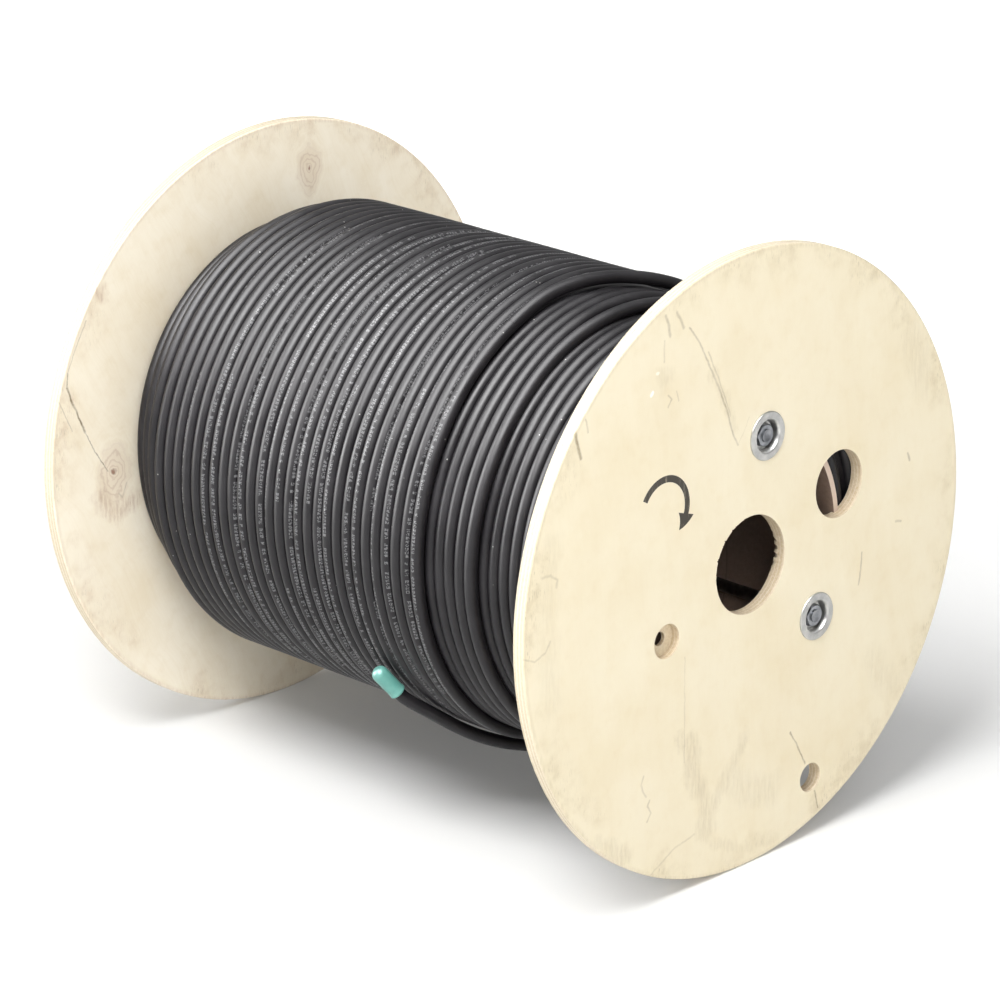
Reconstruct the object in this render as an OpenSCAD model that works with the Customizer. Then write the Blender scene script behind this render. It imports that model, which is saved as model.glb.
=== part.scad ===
// Plywood reel of outdoor network cable, lying on its rims.
// Millimetres. The axis runs along X with the drilled flange at +X, Z is up,
// and the floor under the middle of the reel is the origin.

/* [Flanges] */
// Diameter of both plywood flanges
flange_d = 400; // [360:1:600]
// Thickness of each flange
flange_t = 9; // [8:0.5:18]
// Clear width between the flanges
traverse = 410; // [300:1:600]
// Chamfer on the rim of each flange
rim_chamfer = 0.8; // [0.3:0.1:2]
// Diameter of the arbor hole in both flanges
arbor_d = 63; // [30:0.5:80]
// Diameter of the hole that shows the start of the cable
access_d = 44; // [20:0.5:50]
// How far its middle lies inside the outside of the barrel
access_inset = 3; // [-4:0.5:10]
// Angle of that hole, from +Y toward +Z
access_angle = 21; // [0:1:40]
// Diameter of the hole near the rim for tying the free end
tie_hole_d = 19; // [8:0.5:25]
// Distance of its middle from the rim of the flange
tie_hole_inset = 29; // [20:0.5:45]
// Angle of the tie hole, from +Y toward +Z
tie_hole_angle = -69; // [-90:0.5:-60]

/* [Barrel] */
// Outside diameter of the fibre tube between the flanges
barrel_d = 182; // [178:0.5:220]
// Wall of the tube
barrel_wall = 4; // [2:0.1:5]
// Depth of the groove in each flange that the tube sits in
barrel_seat = 2; // [1:0.1:2.5]
// Side clearance of the tube in its groove
barrel_play = 0.25; // [0.1:0.05:0.5]

/* [Tie bolts] */
// How far the bolts lie inside the outside of the barrel
bolt_inset = 10; // [9.5:0.5:20]
// Angle of the first bolt place, from +Y toward +Z
bolt_angle = 81; // [70:1:100]
// Thread diameter of the tie bolts
bolt_d = 8; // [6:0.5:10]
// Side clearance of the bolt in wood and washers
bolt_play = 0.5; // [0.2:0.05:1]
// Length of bolt that stands out of the nut
bolt_stand_out = 1; // [0.5:0.1:4]
// Width across the flats of nut and bolt head
nut_flats = 13; // [12:0.5:16]
// Height of the nut
nut_h = 4; // [3:0.1:5]
// Height of the bolt head
head_h = 5.3; // [4:0.1:7]
// Side clearance between the nut and the plain bolt
thread_play = 0.1; // [0.05:0.05:0.3]
// Outside diameter of the rim of a cup washer
cup_rim_d = 31; // [26:0.5:36]
// Outside diameter of its cup
cup_d = 21.4; // [20:0.2:24]
// Depth of the cup below the face of the flange
cup_depth = 6; // [3:0.1:6.5]
// Sheet thickness of a cup washer
cup_sheet = 1.2; // [0.8:0.1:2]
// Side clearance of the cup in its counterbore
cup_play = 0.3; // [0.1:0.05:0.6]

/* [Cable] */
// Outside diameter of the jacket
cable_d = 8.5; // [6:0.1:10]
// Number of layers on the barrel
layers = 8; // [5:1:9]
// Rise of each layer, as a share of the cable diameter
nest = 0.85; // [0.82:0.01:0.86]
// Gap between the first layer and the barrel
layer_play = 0.2; // [0.1:0.05:0.5]
// Gap between the end turns and the flanges
end_play = 0.3; // [0.1:0.05:0.6]
// Upper layers that step back from the far flange
shoulder_layers = 3; // [0:1:4]
// Turns that each of them steps back
shoulder_turns = 1.5; // [0.5:0.5:2]
// Turns missing from the top layer at the near flange
top_turns_missing = 15; // [11:1:20]
// Turns missing from the layer below it
second_turns_missing = 10; // [4:1:12]
// Angle where the last turn starts, from +Y toward +Z
last_turn_from = -106; // [-130:1:-90]

/* [Cable end] */
// Outside diameter of the vinyl end cap
cap_d = 11.8; // [10:0.1:14]
// Length of the end cap
cap_length = 27; // [20:0.5:40]
// Rounding of the closed end
cap_round = 4.5; // [1:0.1:5]
// Clearance of the cable in the cap
cap_play = 0.25; // [0.1:0.05:0.5]
// Length of cable inside the cap
cap_insert = 20; // [10:0.5:24]

/* [Hidden] */
$fn = 96;
// Overshoot of every cutting tool
over = 1;

axis_z = flange_d / 2;
access_r = barrel_d / 2 - access_inset;
tie_hole_r = flange_d / 2 - tie_hole_inset;
bolt_circle_d = barrel_d - 2 * bolt_inset;
bolt_places = 3;
bolt_step = 360 / bolt_places;
bolt_hole_d = bolt_d + 2 * bolt_play;
counterbore_d = cup_d + 2 * cup_play;
// Seat of nut and head, measured outward from the inner face of a flange
seat_z = flange_t - cup_depth + cup_sheet;

// Winding: even layers from the top down lie on the grid, the others half a turn along
bore_r = barrel_d / 2 + layer_play;
turns = floor((traverse - 2 * end_play - cable_d / 2) / cable_d);
pitch = (traverse - 2 * end_play - cable_d) / (turns - 0.5);
first_x = -traverse / 2 + end_play + cable_d / 2;
// The core fills the turns up to this share of a diameter above their centres
core_share = 0.15;
// The core stands off the inner side of the first layer
core_ease = 0.4;
top = layers - 1;
function layer_r(k) = bore_r + cable_d * (0.5 + nest * k);
function turn_x(k, i) = first_x + pitch * (i + ((top - k) % 2) / 2);
function first_turn(k) = ceil(shoulder_turns * max(0, k - top + shoulder_layers));
function last_turn(k) = turns - 1 - (k == top ? top_turns_missing : k == top - 1 ? second_turns_missing : 0);
function is_bare(k, i) = k == top || i <= first_turn(k + 1) || i >= last_turn(k + 1);
function is_seen(k, i) = i == first_turn(k) || i == last_turn(k) || is_bare(k, i);

// The last turn lies beside the top layer and ends where the free end leaves it
last_turn_x = turn_x(top, last_turn(top) + 1);
last_turn_to = 116;

// Free end: its route on the winding, over the top, down the back and under to the front
tail_route = [
    [75.5, -64.2, 331.7], [77, -34, 344.5], [83, -2, 349.5], [92, 33, 347], [101, 67, 335],
    [108, 101, 311], [112, 128, 276], [114, 146, 228], [114, 147, 176], [112, 130, 128],
    [106, 98, 87], [96, 61, 60], [82, 20, 46], [70, -17, 45], [61, -49, 52],
    [54, -79, 66], [43, -105, 85], [33, -124, 102]];
// Point on the axis of the end cap, past its closed end
cap_aim = [25, -140, 124];
tail_sides = 10;
tail_steps = 3;
tail_start_way = [0, sin(last_turn_to), -cos(last_turn_to)];
tail_last = len(tail_route) - 1;
cap_at = tail_route[tail_last];
cap_way = unit(cap_aim - cap_at);

function unit(v) = v / norm(v);
function reach(i) = norm(tail_route[i + 1] - tail_route[i]);
function slope(i) =
    i == 0 ? tail_start_way * reach(0)
    : i == tail_last ? cap_way * reach(tail_last - 1)
    : (tail_route[i + 1] - tail_route[i - 1]) / 2;
function tail_point(i, t) =
    tail_route[i] * (1 - t) * (1 - t) * (1 + 2 * t) + slope(i) * t * (1 - t) * (1 - t)
    + tail_route[i + 1] * t * t * (3 - 2 * t) - slope(i + 1) * t * t * (1 - t);
function tail_way(i, t) = unit(
    (tail_route[i + 1] - tail_route[i]) * 6 * t * (1 - t)
    + slope(i) * (1 - t) * (1 - 3 * t) + slope(i + 1) * t * (3 * t - 2));
function ring(centre, way) =
    let (side = unit(cross(way, [1, 0, 0])), rise = cross(way, side))
    [for (s = [0:tail_sides - 1])
        centre + (side * cos(s * 360 / tail_sides) + rise * sin(s * 360 / tail_sides)) * cable_d / 2];

// A flange's frame: inner face at z = 0, outer face at z = flange_t, angles from +Y toward +Z
module on_near() {
    translate([traverse / 2, 0, axis_z]) rotate([0, 90, 0]) children();
}

module on_far() {
    mirror([1, 0, 0]) on_near() children();
}

module at_polar(r, angle) {
    rotate([0, 0, angle]) translate([0, r, 0]) children();
}

module at_bolt(number) {
    at_polar(bolt_circle_d / 2, bolt_angle - bolt_step * (number - 1)) children();
}

module through_hole(d) {
    translate([0, 0, -over]) cylinder(d = d, h = flange_t + 2 * over);
}

// Plywood disc with its arbor hole, tube groove and bolt places
module flange_blank() {
    r = flange_d / 2;
    difference() {
        rotate_extrude()
            polygon([[0, 0], [r - rim_chamfer, 0], [r, rim_chamfer],
                [r, flange_t - rim_chamfer], [r - rim_chamfer, flange_t], [0, flange_t]]);
        through_hole(arbor_d);
        translate([0, 0, -over]) difference() {
            cylinder(d = barrel_d + 2 * barrel_play, h = barrel_seat + over);
            cylinder(d = barrel_d - 2 * (barrel_wall + barrel_play), h = barrel_seat + over);
        }
        for (number = [1:bolt_places]) at_bolt(number) {
            through_hole(bolt_hole_d);
            translate([0, 0, flange_t - cup_depth]) cylinder(d = counterbore_d, h = cup_depth + over);
        }
    }
}

module flange_near() {
    color("blanchedalmond") on_near() difference() {
        flange_blank();
        at_polar(access_r, access_angle) through_hole(access_d);
        at_polar(tie_hole_r, tie_hole_angle) through_hole(tie_hole_d);
    }
}

module flange_far() {
    color("blanchedalmond") on_far() flange_blank();
}

// Fibre tube, seated in both grooves
module barrel() {
    length = traverse + 2 * barrel_seat;
    color("rosybrown") translate([-length / 2, 0, axis_z]) rotate([0, 90, 0]) difference() {
        cylinder(d = barrel_d, h = length);
        translate([0, 0, -over]) cylinder(d = barrel_d - 2 * barrel_wall, h = length + 2 * over);
    }
}

// Section of the wound layers: a stepped core with the round turns that show
module winding_section() {
    for (k = [0:top]) {
        from_x = turn_x(k, first_turn(k));
        to_x = turn_x(k, last_turn(k));
        translate([bore_r + core_ease, from_x])
            square([layer_r(k) + core_share * cable_d - bore_r - core_ease, to_x - from_x]);
        for (i = [first_turn(k):last_turn(k)]) if (is_seen(k, i))
            translate([layer_r(k), turn_x(k, i)]) circle(d = cable_d);
    }
}

// Turned from -Y round the front, so that the last turn ends under the free end's start
module cable_winding() {
    color("dimgray") translate([0, 0, axis_z]) rotate([0, 90, 0]) {
        rotate_extrude() winding_section();
        rotate([0, 0, last_turn_to + 90]) rotate_extrude(angle = 360 + last_turn_from - last_turn_to)
            translate([layer_r(top), last_turn_x]) circle(d = cable_d);
    }
}

// Free end of the cable, swept along its route and pushed into the cap
module cable_tail() {
    rings = concat(
        [for (i = [0:tail_last - 1], j = [0:tail_steps - 1])
            ring(tail_point(i, j / tail_steps), tail_way(i, j / tail_steps))],
        [ring(cap_at, cap_way), ring(cap_at + cap_way * cap_insert, cap_way)]);
    last = len(rings) - 1;
    n = tail_sides;
    points = [for (r = rings) each r];
    walls = [for (r = [0:last - 1], s = [0:n - 1])
        [r * n + s, r * n + (s + 1) % n, (r + 1) * n + (s + 1) % n, (r + 1) * n + s]];
    ends = [[for (s = [n - 1:-1:0]) s], [for (s = [0:n - 1]) last * n + s]];
    color("dimgray") polyhedron(points, concat(walls, ends), convexity = 6);
}

// Soft vinyl cap, dipped with a round closed end
module end_cap() {
    turn = atan2(cap_way.y, cap_way.x);
    tilt = acos(cap_way.z);
    color("mediumaquamarine") translate(cap_at) rotate([0, tilt, turn]) difference() {
        rotate_extrude() intersection() {
            square([cap_d / 2, cap_length]);
            union() {
                square([cap_d / 2, cap_length - cap_round]);
                square([cap_d / 2 - cap_round, cap_length]);
                translate([cap_d / 2 - cap_round, cap_length - cap_round]) circle(r = cap_round);
            }
        }
        translate([0, 0, -over]) cylinder(d = cable_d + 2 * cap_play, h = cap_insert + over);
    }
}

// Hexagon with its corners chamfered on the outer side
module hexagon(height) {
    corner_d = nut_flats / cos(30);
    chamfer = (corner_d - nut_flats) / 2;
    intersection() {
        cylinder(d = corner_d, h = height, $fn = 6);
        rotate_extrude() polygon([[0, 0], [corner_d / 2, 0], [corner_d / 2, height - chamfer],
            [nut_flats / 2, height], [0, height]]);
    }
}

// Bolt through both flanges, head at the far one
module tie_bolt(number) {
    length = traverse + 2 * seat_z + nut_h + bolt_stand_out;
    color("darkgray") on_far() at_bolt(number) {
        translate([0, 0, seat_z]) hexagon(head_h);
        translate([0, 0, seat_z - length]) cylinder(d = bolt_d, h = length);
    }
}

module nut(number) {
    color("darkgray") on_near() at_bolt(number) translate([0, 0, seat_z]) difference() {
        hexagon(nut_h);
        translate([0, 0, -over]) cylinder(d = bolt_d + 2 * thread_play, h = nut_h + 2 * over);
    }
}

// Pressed cup with a flat rim, let into the counterbore
module cup_washer(number) {
    color("silver") at_bolt(number) translate([0, 0, flange_t]) rotate_extrude() {
        inner_r = cup_d / 2 - cup_sheet;
        translate([inner_r, 0]) square([cup_rim_d / 2 - inner_r, cup_sheet]);
        translate([inner_r, -cup_depth]) square([cup_sheet, cup_depth + cup_sheet]);
        translate([bolt_hole_d / 2, -cup_depth]) square([cup_d / 2 - bolt_hole_d / 2, cup_sheet]);
    }
}

flange_near();
flange_far();
barrel();
cable_winding();
cable_tail();
end_cap();
tie_bolt(1);  // tie_bolt_1
tie_bolt(2);  // tie_bolt_2
nut(1);  // nut_1
nut(2);  // nut_2
on_near() cup_washer(1);  // cup_washer_near_1
on_near() cup_washer(2);  // cup_washer_near_2
on_far() cup_washer(1);  // cup_washer_far_1
on_far() cup_washer(2);  // cup_washer_far_2
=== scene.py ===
"""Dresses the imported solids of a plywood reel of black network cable."""

import math

import bmesh
import bpy
import numpy as np
from bpy.props import FloatProperty, FloatVectorProperty, IntProperty, PointerProperty
from mathutils import Matrix, Vector


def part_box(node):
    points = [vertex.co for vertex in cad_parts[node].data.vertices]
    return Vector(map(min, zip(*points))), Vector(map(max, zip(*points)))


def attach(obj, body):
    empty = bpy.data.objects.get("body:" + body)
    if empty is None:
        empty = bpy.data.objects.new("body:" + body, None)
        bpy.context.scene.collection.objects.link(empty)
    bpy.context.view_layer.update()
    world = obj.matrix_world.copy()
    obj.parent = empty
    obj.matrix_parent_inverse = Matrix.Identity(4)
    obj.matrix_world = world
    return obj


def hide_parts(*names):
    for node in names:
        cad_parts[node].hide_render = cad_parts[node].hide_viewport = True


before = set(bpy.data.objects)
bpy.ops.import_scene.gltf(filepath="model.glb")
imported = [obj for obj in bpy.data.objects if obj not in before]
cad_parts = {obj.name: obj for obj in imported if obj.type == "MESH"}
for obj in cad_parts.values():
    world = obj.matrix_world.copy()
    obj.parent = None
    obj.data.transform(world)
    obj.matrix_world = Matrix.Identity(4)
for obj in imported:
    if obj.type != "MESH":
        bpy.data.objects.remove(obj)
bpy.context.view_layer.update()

bl_info = {
    "name": "Cable Reel Dresser",
    "version": (1, 0, 0),
    "blender": (4, 5, 0),
    "location": "3D View > Sidebar > Reel",
    "description": "Builds the wound turns, wood, steel and stage of a plywood cable reel",
    "category": "Object",
}

MM = 0.001
BODY = "root"

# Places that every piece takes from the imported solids
FLANGE_LOW, FLANGE_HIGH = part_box("flange_near")
INNER_X = FLANGE_LOW.x
OUTER_X = FLANGE_HIGH.x
FLANGE_R = (FLANGE_HIGH.z - FLANGE_LOW.z) / 2
AXIS_Z = (FLANGE_HIGH.z + FLANGE_LOW.z) / 2

# Camera of the picture, level and without shift
CAMERA_AT = (1.8854, -1.9382, 1.1551)
CAMERA_RIGHT = (0.71693, 0.69714, 0.0)
CAMERA_UP = (-0.23465, 0.24131, 0.94165)
CAMERA_LENS = 161.0
CAMERA_SENSOR = 36.0

# Angle round the axis, from +Y toward +Z, where the winding steps from one turn to the next
STEP_ANGLE = 254
# Share of a turn that half of such a step takes
STEP_SHARE = 0.07
# The last turn leaves the top layer at this angle and becomes the free end
LEAVE_ANGLE = 116
# The turns are loosest at this angle
LOOSE_ANGLE = 115
# Metres along the cable where the free end begins
LEGEND_END = 39.2
# Rough length of cable in a layer in metres; it sets where the pattern of a lower layer begins
LAYER_LENGTH = 40.0
# Points of the last turn that lead over to the start of the free end
JOIN_ROWS = 24
# Degrees along its last turn where the upper band begins to veer and to sink, and how long each takes
VEER_AT = 125
VEER_OVER = 235
SINK_AT = 280
SINK_OVER = 60
# Share of a turn that the lower band stops short
STOP_SHARE = 0.24
# How much more the turns of the two bands wander than the others
BAND_WANDER = 2.2

# Route of the free end in millimetres: over the top, down the back and under to the front
TAIL_ROUTE = (
    (75.5, -64.2, 331.7), (77, -34, 344.5), (83, -2, 349.5), (92, 33, 347), (101, 67, 335),
    (108, 101, 311), (112, 128, 276), (114, 146, 228), (114, 147, 176), (112, 130, 128),
    (106, 98, 87), (96, 61, 60), (82, 20, 46), (70, -17, 45), (61, -49, 52),
    (54, -79, 66), (43, -105, 85), (33, -124, 102),
)
# Way of the cap, and how deep the cable sits in it
CAP_AIM = (25, -140, 124)
CAP_INSERT = 20
# Points of the free end between two points of its route
TAIL_STEPS = 10
# Share of the loft that the free end loses, the place along +X where that begins and how long it takes
TAIL_FADE = 0.7
TAIL_FADE_AT = 76
TAIL_FADE_OVER = 25

# Marks on the near flange, in millimetres from the axis along +Y and +Z: points, width, strength
NEAR_LINES = (
    (((-58, 166), (-50, 156), (-39, 137), (-30, 120), (-23, 105), (-19, 93), (-13, 82)), 0.5, 0.5),
    (((-41, 147), (-35, 135), (-26, 116), (-20, 102)), 0.4, 0.36),
    (((-13, 82), (-8, 88), (-3, 97)), 0.3, 0.16),
    (((-156, 125), (-154, 116), (-151, 108)), 0.8, 0.85),
    (((-161, 131), (-158, 123)), 0.5, 0.5),
    (((-147, 130), (-145, 122)), 0.5, 0.4),
    (((-79, 178), (-76, 171), (-75, 165)), 0.8, 0.45),
    (((-69, 178), (-63, 167)), 0.7, 0.5),
    (((-80, 163), (-80, 150)), 0.5, 0.28),
    (((-76, 128), (-73, 125), (-76, 121)), 0.4, 0.35),
    (((-69, 129), (-67, 123)), 0.4, 0.3),
    (((-58, -43), (-57, -112)), 0.35, 0.25),
    (((-183, 42), (-176, 42), (-170, 38), (-171, 33)), 0.6, 0.28),
    (((-199, -4), (-189, -8), (-180, -5), (-176, 1)), 0.5, 0.3),
    (((150, 36), (152, 31)), 0.7, 0.65),
    (((107, -19), (107, -30), (105, -40)), 0.5, 0.55),
    (((140, -7), (145, -8)), 0.6, 0.5),
    (((42, -122), (48, -131), (53, -140), (57, -147)), 0.45, 0.65),
    (((67, -169), (69, -175), (71, -182)), 0.45, 0.65),
    (((-94, -110), (-96, -115), (-94, -120), (-91, -124)), 0.5, 0.34),
    (((-88, -127), (-90, -131), (-87, -136), (-90, -141)), 0.5, 0.34),
    (((-47, -163), (-66, -167), (-88, -178)), 0.5, 0.25),
)
NEAR_SMEARS = (
    (((-51, -102), (-52, -119), (-47, -131), (-36, -153)), 5, 0.42),
    (((-2, -114), (-13, -129), (-21, -139), (-32, -154)), 4, 0.32),
    (((-36, -153), (-38, -164)), 6, 0.4),
    (((-31, -175), (-5, -187), (29, -191)), 3, 0.25),
    (((-37, 132), (-28, 115), (-21, 99), (-17, 89)), 2.5, 0.3),
    (((-64, -93), (-60, -103)), 3, 0.35),
    (((-9, -140), (-1, -152), (23, -156)), 8, 0.24),
    (((-133, -144), (-111, -161)), 5, 0.4),
    (((-82, 138), (-80, 137)), 5, 0.3),
    (((120, -95), (140, -120)), 7, 0.2),
    (((-176, 60), (-180, 20), (-177, -40)), 6, 0.18),
    (((150, 110), (165, 80)), 9, 0.25),
)
NEAR_SPOTS = ((((-91, 132), (-90, 133)), 2, 0.7), (((-86, 144), (-85, 144)), 1.5, 0.4))
# Marks on the inner face of the far flange
FAR_LINES = (
    (((-166, 103), (-175, 88), (-183, 72)), 0.3, 0.45),
    (((-183, 72), (-184, 62)), 0.4, 0.8),
    (((-184, 62), (-180, 51), (-170, 29)), 0.55, 1.0),
    (((-170, 29), (-163, 15), (-152, -2)), 0.3, 0.7),
    (((-191, 54), (-181, 32)), 0.3, 0.4),
    (((-143, -20), (-140, -23), (-136, -14)), 0.4, 0.3),
)
FAR_SMEARS = (
    (((-157, 120), (-154, 117)), 4, 0.75),
    (((-160, -20), (-153, -30), (-144, -34), (-134, -28)), 5, 0.7),
)
# Knots in the veneer: middle along +Y and +Z, half width and half length
FAR_KNOTS = ((30, 163, 11, 17), (-148, -6, 14, 20))


def linear(code):
    """Turn an sRGB hex colour into linear RGB."""
    channels = [int(code[at:at + 2], 16) / 255 for at in (1, 3, 5)]
    return tuple(c / 12.92 if c <= 0.04045 else ((c + 0.055) / 1.055) ** 2.4 for c in channels)


def paint(name, description, code):
    """Describe a colour that a user may change."""
    return FloatVectorProperty(
        name=name, description=description, subtype="COLOR", size=3, min=0, max=1, default=linear(code))


class CableSettings(bpy.types.PropertyGroup):
    """Sizes and colours of the cable and its cap."""

    jacket_d: FloatProperty(
        name="Jacket diameter", description="Outside diameter of the cable",
        default=8.5 * MM, min=4 * MM, max=12 * MM, unit="LENGTH", precision=4)
    layers: IntProperty(name="Layers", description="Layers on the barrel", default=8, min=5, max=9)
    turns: IntProperty(name="Turns", description="Turns in a full layer", default=47, min=30, max=80)
    nest: FloatProperty(
        name="Nesting", description="Rise of a layer as a share of the diameter",
        default=0.85, min=0.8, max=0.9, subtype="FACTOR")
    shoulder_layers: IntProperty(
        name="Shoulder layers", description="Upper layers that step back from the far flange",
        default=3, min=0, max=4)
    shoulder_turns: FloatProperty(
        name="Shoulder step", description="Turns that each of them steps back", default=1.5, min=0, max=3)
    top_turns_missing: IntProperty(
        name="Top turns missing", description="Turns missing from the top layer at the near flange",
        default=15, min=0, max=30)
    second_turns_missing: IntProperty(
        name="Second turns missing", description="Turns missing from the layer below it",
        default=10, min=0, max=30)
    unevenness: FloatProperty(
        name="Unevenness", description="How far a turn wanders from its place",
        default=0.3 * MM, min=0, max=2 * MM, unit="LENGTH", precision=5)
    loft: FloatProperty(
        name="Loft",
        description="How far the turns stand off at the upper left, where they were wound loosest",
        default=6.5 * MM, min=0, max=10 * MM, unit="LENGTH", precision=4)
    round_sides: IntProperty(
        name="Sides", description="Sides of a turn's section", default=14, min=8, max=24)
    turn_segments: IntProperty(
        name="Segments", description="Segments of one turn", default=160, min=60, max=240)
    jacket: paint("Jacket", "Polyethylene jacket", "#161417")
    jacket_worn: paint("Rubbed jacket", "Jacket where it was rubbed", "#201E21")
    legend: paint("Legend", "Printed ticks along the jacket", "#9C9C9E")
    lint: paint("Lint", "Specks of dust on the jacket", "#C9C8C4")
    cap: paint("End cap", "Dipped vinyl", "#5C9A91")
    cap_thin: paint("End cap, thin", "Vinyl where the dip is thin", "#6BA69C")


class WoodSettings(bpy.types.PropertyGroup):
    """Sizes and colours of the flanges and the barrel."""

    edge_round: FloatProperty(
        name="Edge rounding", description="Rounding of sawn and drilled edges",
        default=0.35 * MM, min=0.05 * MM, max=1 * MM, unit="LENGTH", precision=5)
    plies: IntProperty(name="Plies", description="Plies in a flange", default=7, min=3, max=13)
    chip_depth: FloatProperty(
        name="Chip depth", description="Depth of the torn plies at the arbor hole",
        default=3 * MM, min=0.2 * MM, max=5 * MM, unit="LENGTH", precision=5)
    wear_depth: FloatProperty(
        name="Wear depth", description="Depth of the worn inner edge of the arbor hole",
        default=4 * MM, min=0.2 * MM, max=6 * MM, unit="LENGTH", precision=5)
    near_face: paint("Near veneer", "Smooth face of the near flange", "#E2D8BF")
    near_cloud: paint("Near veneer, clouded", "Darker clouds in the near face", "#DCCFB1")
    far_face: paint("Far veneer", "Knotty face of the far flange", "#F3EAD7")
    far_grain: paint("Far grain", "Darker grain of the far flange", "#E8DBC1")
    knot: paint("Knot", "Rings of the knots and stained wood", "#B89A7E")
    knot_heart: paint("Knot heart", "Dark middle of a knot", "#84563F")
    ply_pale: paint("Pale ply", "Plies cut along the grain", "#E0D5BF")
    ply_dark: paint("Dark ply", "Plies cut across the grain", "#CAB896")
    glue_line: paint("Glue line", "Lines between the plies", "#836B4C")
    # Colour of the painted shade in the holes and on the counterbore floors
    hole_shade: paint("Drilled wall", "Painted shade on the walls and floors of the holes", "#B49B7A")
    scratch: paint("Scratch", "Scratches and cracks", "#7B6C4E")
    dirt: paint("Dirt", "Rubbed-in dirt and handling marks", "#AC9D7E")
    chalk: paint("Chalk", "Chalky spots", "#FBFAF6")
    ink: paint("Ink", "Printed roll arrow", "#2B2622")
    tube: paint("Tube", "Paper of the barrel", "#8E7869")
    tube_seam: paint("Tube seam", "Seams of the wound paper", "#6C584C")
    tube_edge: paint("Tube edge", "Cut edge of the barrel", "#CDB9A8")


class SteelSettings(bpy.types.PropertyGroup):
    """Sizes and colours of the bolts, nuts and cup washers."""

    edge_round: FloatProperty(
        name="Edge rounding", description="Rounding of pressed and turned edges",
        default=0.3 * MM, min=0.05 * MM, max=0.6 * MM, unit="LENGTH", precision=5)
    zinc: paint("Washer zinc", "Zinc on the pressed washers", "#BFBEBB")
    zinc_dull: paint("Dulled washer zinc", "Where it has dulled", "#A6A6A5")
    thread: paint("Bolt zinc", "Zinc on the bolts and nuts", "#9A9CA0")
    thread_dull: paint("Dulled bolt zinc", "Where it has dulled", "#74767A")


class StageSettings(bpy.types.PropertyGroup):
    """Floor and light."""

    floor: paint("Floor", "Pale matt floor", "#E2E2E1")
    floor_cloud: paint("Floor cloud", "Faint clouds in the floor", "#D2D1CC")
    floor_width: FloatProperty(
        name="Floor width", description="Side of the floor", default=9, min=2, max=30, unit="LENGTH")
    # Painted glow of the floor, rising with distance from the reel
    glow: FloatProperty(
        name="Floor glow", description="Painted glow of the floor, far from the reel",
        default=0.6, min=0, max=2)
    sky: FloatProperty(
        name="Room light", description="Strength of the white room", default=0.42, min=0, max=3)
    key_power: FloatProperty(
        name="Key light", description="Power of the soft box above the front",
        default=65, min=0, max=500, unit="POWER")
    gloss_power: FloatProperty(
        name="Gloss panel", description="Power of the broad panel that shows only in reflections",
        default=400, min=0, max=1000, unit="POWER")
    side_power: FloatProperty(
        name="Side panel", description="Power of the panel on the left that shows only in reflections",
        default=190, min=0, max=500, unit="POWER")
    fill_power: FloatProperty(
        name="Fill light", description="Power of the bounced light beside the camera",
        default=30, min=0, max=500, unit="POWER")


def feed(tree, node, inputs):
    """Set or link the inputs of a node; a plain colour gets its alpha here."""
    for key, value in inputs.items():
        socket = node.inputs[key]
        if isinstance(value, bpy.types.Node):
            value = value.outputs[0]
        if isinstance(value, bpy.types.NodeSocket):
            tree.links.new(value, socket)
        else:
            socket.default_value = (*value, 1.0) if socket.type == "RGBA" else value


def add(tree, kind, inputs=None, **settings):
    """Add a node, set its properties, and set or link its inputs."""
    node = tree.nodes.new("ShaderNode" + kind)
    for key, value in settings.items():
        setattr(node, key, value)
    feed(tree, node, inputs or {})
    return node


def new_material(name):
    """Start a material and return it with its tree, its shader and the place on the piece in millimetres."""
    material = bpy.data.materials.new(name)
    material.use_nodes = True
    tree = material.node_tree
    coords = add(tree, "TexCoord").outputs["Object"]
    place = add(tree, "VectorMath", {0: coords, "Scale": 1 / MM}, operation="SCALE")
    return material, tree, tree.nodes["Principled BSDF"], place


def finish_piece(obj, nodes=()):
    """Hang a piece on the reel and hide the imported solids that it stands for."""
    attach(obj, BODY)
    if nodes:
        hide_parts(*nodes)


def new_piece(name, mesh, material):
    """Link a mesh to the scene as a piece with one material."""
    mesh.materials.clear()
    mesh.materials.append(material)
    obj = bpy.data.objects.new(name, mesh)
    bpy.context.scene.collection.objects.link(obj)
    return obj


# Cable


class Winding:
    """Places of the turns: layers count up from the barrel, turns from the far flange."""

    def __init__(self, cable):
        low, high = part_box("cable_winding")
        self.cable = cable
        self.d = cable.jacket_d
        self.top = cable.layers - 1
        self.top_r = (high.z - low.z) / 2 - self.d / 2
        self.rise = cable.nest * self.d
        self.pitch = (high.x - low.x - self.d) / (cable.turns - 0.5)
        self.first_x = low.x + self.d / 2

    def layer_r(self, layer):
        """Distance of a layer from the axis."""
        return self.top_r - self.rise * (self.top - layer)

    def turn_x(self, layer, turn):
        """Place of a turn along the axis; every other layer lies in the gaps of its neighbours."""
        return self.first_x + self.pitch * (turn + ((self.top - layer) % 2) / 2)

    def first_turn(self, layer):
        """Number of the turn that is nearest to the far flange."""
        steps = max(0, layer - self.top + self.cable.shoulder_layers)
        return math.ceil(self.cable.shoulder_turns * steps)

    def last_turn(self, layer):
        """Number of the turn that is nearest to the near flange."""
        missing = {self.top: self.cable.top_turns_missing, self.top - 1: self.cable.second_turns_missing}
        return self.cable.turns - 1 - missing.get(layer, 0)


def smooth(value):
    """Ease from 0 to 1."""
    share = np.clip(value, 0, 1)
    return share * share * (3 - 2 * share)


def looseness(angle):
    """Share of the loft round the axis: 1 at the upper left, 0 opposite."""
    return (0.5 + 0.5 * np.cos(angle - math.radians(LOOSE_ANGLE))) ** 2


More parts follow.
